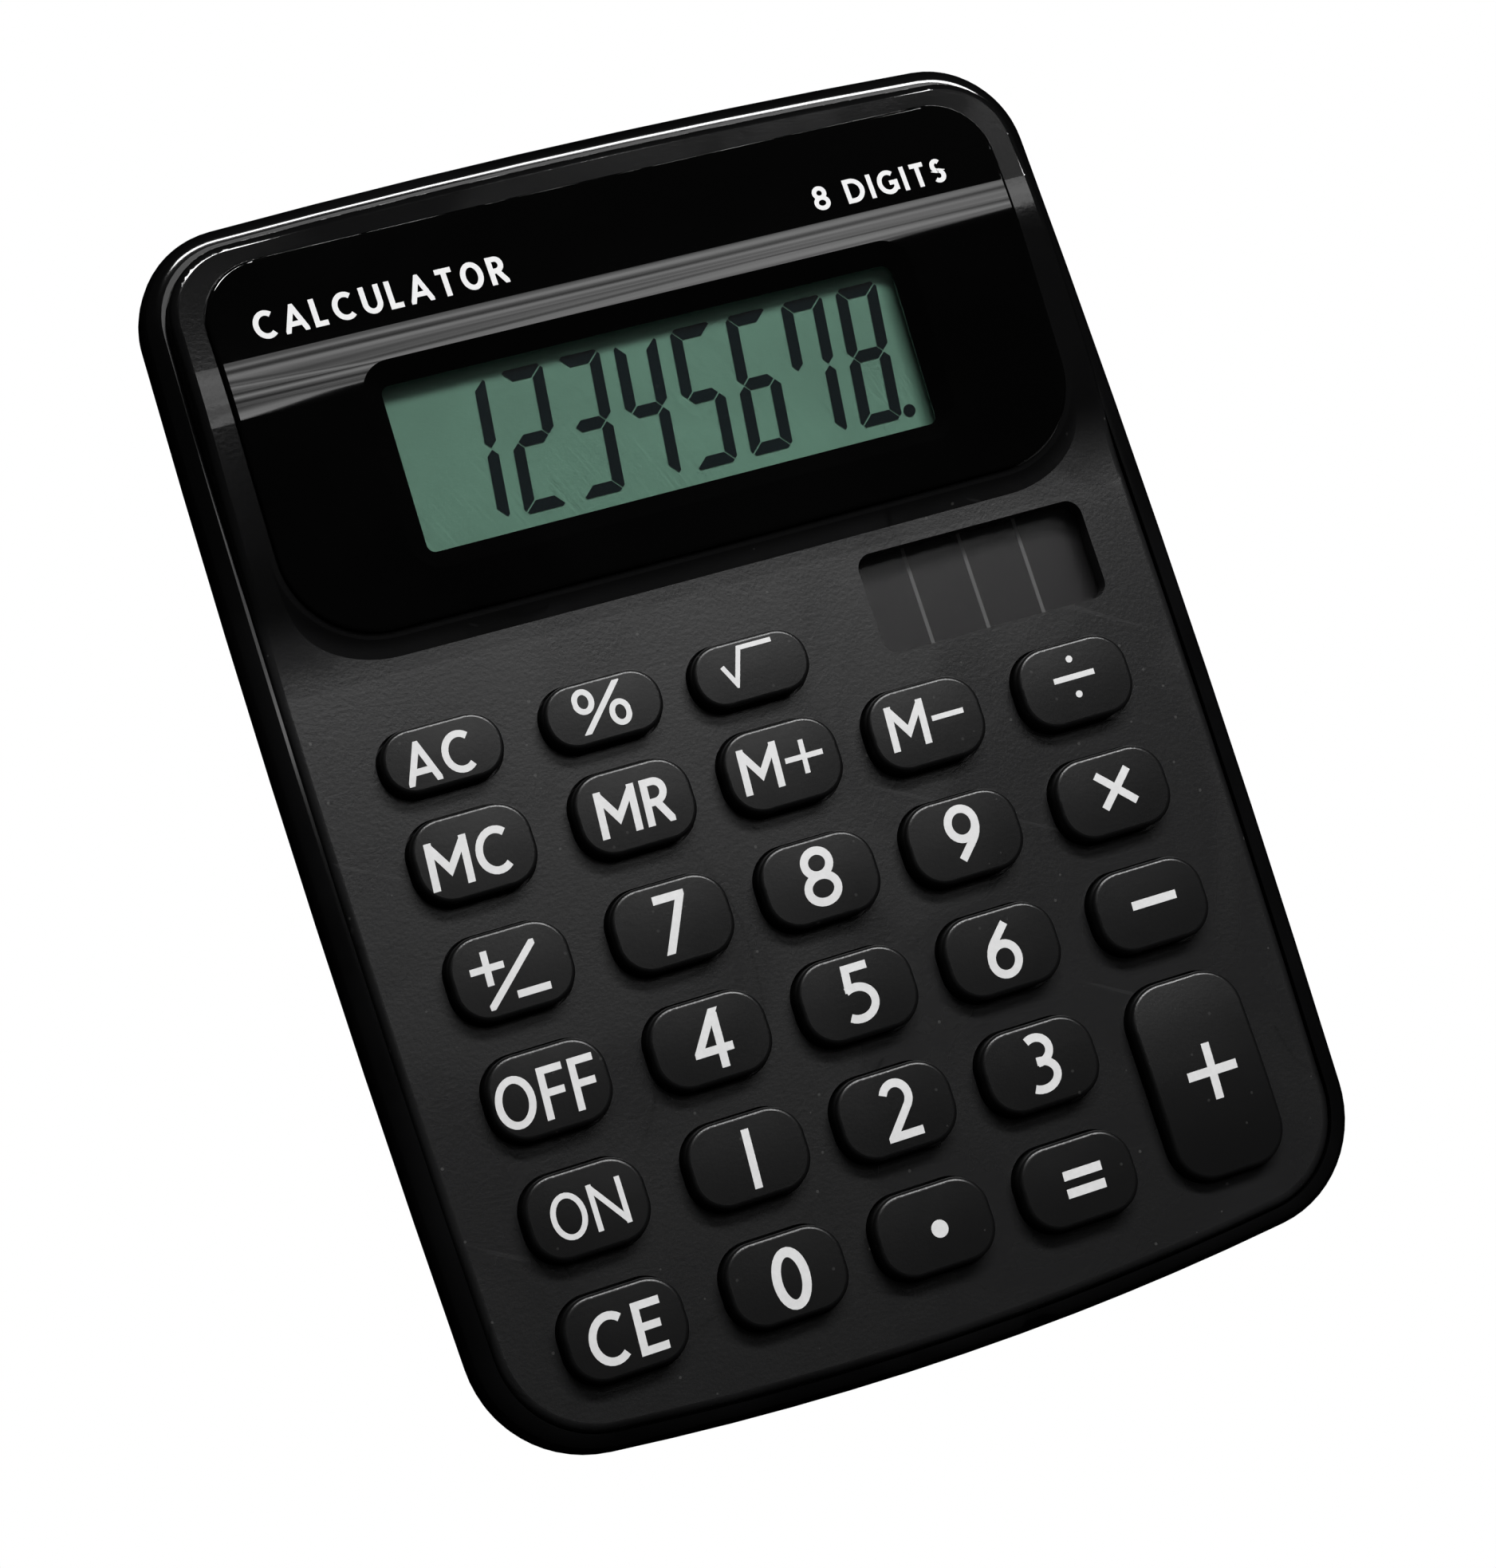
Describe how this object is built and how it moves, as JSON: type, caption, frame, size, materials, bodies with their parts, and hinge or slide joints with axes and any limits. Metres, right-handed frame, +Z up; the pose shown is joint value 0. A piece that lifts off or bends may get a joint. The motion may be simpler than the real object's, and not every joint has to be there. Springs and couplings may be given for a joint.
{
  "type": "pocket calculator",
  "caption": "Flat pocket calculator: black tray, dark grey keypad shell, bent glossy display panel with a numeric LCD, solar cell, rounded sprung keys and a sliding battery door.",
  "frame": {"origin": "on the table, under the middle of the case", "axes": "+X to the reader's right across the display, +Y along the case towards the display end, +Z up out of the keys"},
  "size_m": [0.0876, 0.1162, 0.0129],
  "materials": {
    "lower_shell": "polished black moulded ABS",
    "upper_shell": "fine satin dark grey moulded ABS",
    "panel_gloss": "high-gloss black",
    "clear_window": "clear acrylic",
    "polariser": "grey-green film",
    "lcd_glass": "thin cell glass",
    "lcd_back": "satin reflector film",
    "inner_plastic": "moulded",
    "strip_rubber": "striped elastomer",
    "solar_glass": "coated glass, opaque",
    "foam": "soft open foam",
    "copper": "tinned copper",
    "silicone": "translucent grey silicone",
    "board": "green solder mask",
    "resin": "black epoxy",
    "can": "bare can",
    "ceramic": "ceramic",
    "steel_screw": "zinc plated",
    "foot_rubber": "matt rubber",
    "steel": "nickel-plated steel",
    "nickel": "nickel-plated spring strip",
    "lead_cover": "insulated lead",
    "key_plastic": "satin charcoal moulded plastic"
  },
  "bodies": {
    "root": {"lower_case": "lower_shell", "upper_case": "upper_shell", "display_panel": "panel_gloss", "display_window": "clear_window", "front_polariser": "polariser", "lcd_front_glass": "lcd_glass", "lcd_rear_glass": "lcd_glass", "lcd_reflector": "lcd_back", "lcd_holder": "inner_plastic", "contact_strip": "strip_rubber", "solar_cover": "clear_window", "solar_cell": "solar_glass", "solar_pad": "foam", "solar_leads": "copper", "dome_sheet": "silicone", "circuit_board": "board", "chip_blob": "resin", "board_capacitor": "can", "board_resistors": "ceramic", "board_screws": "steel_screw", "case_screws": "steel_screw", "rubber_feet": "foot_rubber", "button_cell": "steel", "positive_contact": "nickel", "negative_contact": "nickel", "battery_leads": "lead_cover"},
    "battery_door": {"battery_door": "lower_shell"},
    "key_all_clear": {"key_all_clear": "key_plastic"},
    "key_percent": {"key_percent": "key_plastic"},
    "key_root": {"key_root": "key_plastic"},
    "key_memory_clear": {"key_memory_clear": "key_plastic"},
    "key_memory_recall": {"key_memory_recall": "key_plastic"},
    "key_memory_plus": {"key_memory_plus": "key_plastic"},
    "key_memory_minus": {"key_memory_minus": "key_plastic"},
    "key_divide": {"key_divide": "key_plastic"},
    "key_sign": {"key_sign": "key_plastic"},
    "key_7": {"key_7": "key_plastic"},
    "key_8": {"key_8": "key_plastic"},
    "key_9": {"key_9": "key_plastic"},
    "key_multiply": {"key_multiply": "key_plastic"},
    "key_off": {"key_off": "key_plastic"},
    "key_4": {"key_4": "key_plastic"},
    "key_5": {"key_5": "key_plastic"},
    "key_6": {"key_6": "key_plastic"},
    "key_minus": {"key_minus": "key_plastic"},
    "key_on": {"key_on": "key_plastic"},
    "key_1": {"key_1": "key_plastic"},
    "key_2": {"key_2": "key_plastic"},
    "key_3": {"key_3": "key_plastic"},
    "key_clear_entry": {"key_clear_entry": "key_plastic"},
    "key_0": {"key_0": "key_plastic"},
    "key_point": {"key_point": "key_plastic"},
    "key_equals": {"key_equals": "key_plastic"},
    "key_plus": {"key_plus": "key_plastic"}
  },
  "joints": [
    {"name": "battery_door_slide", "type": "slide", "parent": "root", "child": "battery_door", "axis": [0, 1, 0], "range_m": [0, 0.02]},
    {"name": "key_all_clear_press", "type": "slide", "parent": "root", "child": "key_all_clear", "axis": [0, 0, -1], "range_m": [0, 0.0011], "stiffness_N_per_m": 450, "deforming": ["dome_sheet"]},
    {"name": "key_percent_press", "type": "slide", "parent": "root", "child": "key_percent", "axis": [0, 0, -1], "range_m": [0, 0.0011], "stiffness_N_per_m": 450, "deforming": ["dome_sheet"]},
    {"name": "key_root_press", "type": "slide", "parent": "root", "child": "key_root", "axis": [0, 0, -1], "range_m": [0, 0.0011], "stiffness_N_per_m": 450, "deforming": ["dome_sheet"]},
    {"name": "key_memory_clear_press", "type": "slide", "parent": "root", "child": "key_memory_clear", "axis": [0, 0, -1], "range_m": [0, 0.0011], "stiffness_N_per_m": 450, "deforming": ["dome_sheet"]},
    {"name": "key_memory_recall_press", "type": "slide", "parent": "root", "child": "key_memory_recall", "axis": [0, 0, -1], "range_m": [0, 0.0011], "stiffness_N_per_m": 450, "deforming": ["dome_sheet"]},
    {"name": "key_memory_plus_press", "type": "slide", "parent": "root", "child": "key_memory_plus", "axis": [0, 0, -1], "range_m": [0, 0.0011], "stiffness_N_per_m": 450, "deforming": ["dome_sheet"]},
    {"name": "key_memory_minus_press", "type": "slide", "parent": "root", "child": "key_memory_minus", "axis": [0, 0, -1], "range_m": [0, 0.0011], "stiffness_N_per_m": 450, "deforming": ["dome_sheet"]},
    {"name": "key_divide_press", "type": "slide", "parent": "root", "child": "key_divide", "axis": [0, 0, -1], "range_m": [0, 0.0011], "stiffness_N_per_m": 450, "deforming": ["dome_sheet"]},
    {"name": "key_sign_press", "type": "slide", "parent": "root", "child": "key_sign", "axis": [0, 0, -1], "range_m": [0, 0.0011], "stiffness_N_per_m": 450, "deforming": ["dome_sheet"]},
    {"name": "key_7_press", "type": "slide", "parent": "root", "child": "key_7", "axis": [0, 0, -1], "range_m": [0, 0.0011], "stiffness_N_per_m": 450, "deforming": ["dome_sheet"]},
    {"name": "key_8_press", "type": "slide", "parent": "root", "child": "key_8", "axis": [0, 0, -1], "range_m": [0, 0.0011], "stiffness_N_per_m": 450, "deforming": ["dome_sheet"]},
    {"name": "key_9_press", "type": "slide", "parent": "root", "child": "key_9", "axis": [0, 0, -1], "range_m": [0, 0.0011], "stiffness_N_per_m": 450, "deforming": ["dome_sheet"]},
    {"name": "key_multiply_press", "type": "slide", "parent": "root", "child": "key_multiply", "axis": [0, 0, -1], "range_m": [0, 0.0011], "stiffness_N_per_m": 450, "deforming": ["dome_sheet"]},
    {"name": "key_off_press", "type": "slide", "parent": "root", "child": "key_off", "axis": [0, 0, -1], "range_m": [0, 0.0011], "stiffness_N_per_m": 450, "deforming": ["dome_sheet"]},
    {"name": "key_4_press", "type": "slide", "parent": "root", "child": "key_4", "axis": [0, 0, -1], "range_m": [0, 0.0011], "stiffness_N_per_m": 450, "deforming": ["dome_sheet"]},
    {"name": "key_5_press", "type": "slide", "parent": "root", "child": "key_5", "axis": [0, 0, -1], "range_m": [0, 0.0011], "stiffness_N_per_m": 450, "deforming": ["dome_sheet"]},
    {"name": "key_6_press", "type": "slide", "parent": "root", "child": "key_6", "axis": [0, 0, -1], "range_m": [0, 0.0011], "stiffness_N_per_m": 450, "deforming": ["dome_sheet"]},
    {"name": "key_minus_press", "type": "slide", "parent": "root", "child": "key_minus", "axis": [0, 0, -1], "range_m": [0, 0.0011], "stiffness_N_per_m": 450, "deforming": ["dome_sheet"]},
    {"name": "key_on_press", "type": "slide", "parent": "root", "child": "key_on", "axis": [0, 0, -1], "range_m": [0, 0.0011], "stiffness_N_per_m": 450, "deforming": ["dome_sheet"]},
    {"name": "key_1_press", "type": "slide", "parent": "root", "child": "key_1", "axis": [0, 0, -1], "range_m": [0, 0.0011], "stiffness_N_per_m": 450, "deforming": ["dome_sheet"]},
    {"name": "key_2_press", "type": "slide", "parent": "root", "child": "key_2", "axis": [0, 0, -1], "range_m": [0, 0.0011], "stiffness_N_per_m": 450, "deforming": ["dome_sheet"]},
    {"name": "key_3_press", "type": "slide", "parent": "root", "child": "key_3", "axis": [0, 0, -1], "range_m": [0, 0.0011], "stiffness_N_per_m": 450, "deforming": ["dome_sheet"]},
    {"name": "key_clear_entry_press", "type": "slide", "parent": "root", "child": "key_clear_entry", "axis": [0, 0, -1], "range_m": [0, 0.0011], "stiffness_N_per_m": 450, "deforming": ["dome_sheet"]},
    {"name": "key_0_press", "type": "slide", "parent": "root", "child": "key_0", "axis": [0, 0, -1], "range_m": [0, 0.0011], "stiffness_N_per_m": 450, "deforming": ["dome_sheet"]},
    {"name": "key_point_press", "type": "slide", "parent": "root", "child": "key_point", "axis": [0, 0, -1], "range_m": [0, 0.0011], "stiffness_N_per_m": 450, "deforming": ["dome_sheet"]},
    {"name": "key_equals_press", "type": "slide", "parent": "root", "child": "key_equals", "axis": [0, 0, -1], "range_m": [0, 0.0011], "stiffness_N_per_m": 450, "deforming": ["dome_sheet"]},
    {"name": "key_plus_press", "type": "slide", "parent": "root", "child": "key_plus", "axis": [0, 0, -1], "range_m": [0, 0.0011], "stiffness_N_per_m": 450, "deforming": ["dome_sheet"]}
  ]
}
